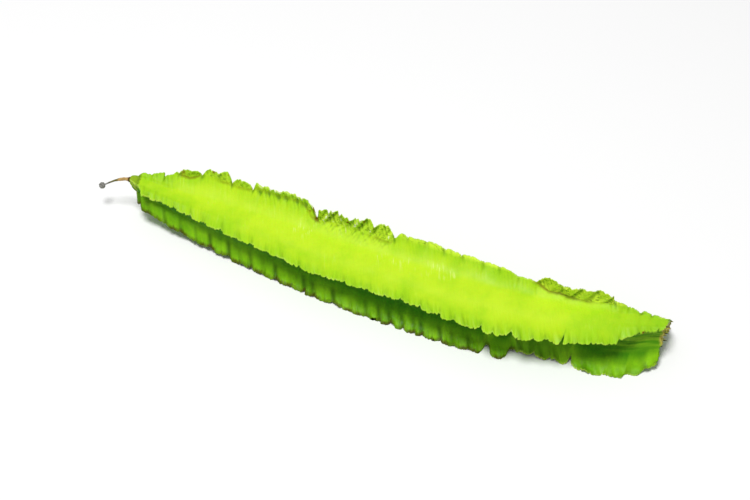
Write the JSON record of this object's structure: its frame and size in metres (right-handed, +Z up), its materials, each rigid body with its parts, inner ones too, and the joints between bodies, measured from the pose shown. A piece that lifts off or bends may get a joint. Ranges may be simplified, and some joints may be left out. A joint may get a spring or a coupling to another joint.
{
  "type": "winged bean pod",
  "caption": "Long four-cornered green bean pod with a thin frilled wing along each corner, lying on its lower wings, with the dried flower thread at its tip.",
  "frame": {"origin": "on the table the pod lies on, under the middle of the whole object's box", "axes": "+X along the pod from its tip to its trimmed stalk end, +Y to the back, +Z up"},
  "size_m": [0.1966, 0.0312, 0.0231],
  "materials": {
    "pod_skin": "waxy yellow-green plant skin, soft gloss",
    "dried_thread": "dry fibrous tan thread with a dull grey knob"
  },
  "bodies": {
    "root": {"pod": "pod_skin", "dried_thread": "dried_thread"}
  },
  "joints": []
}
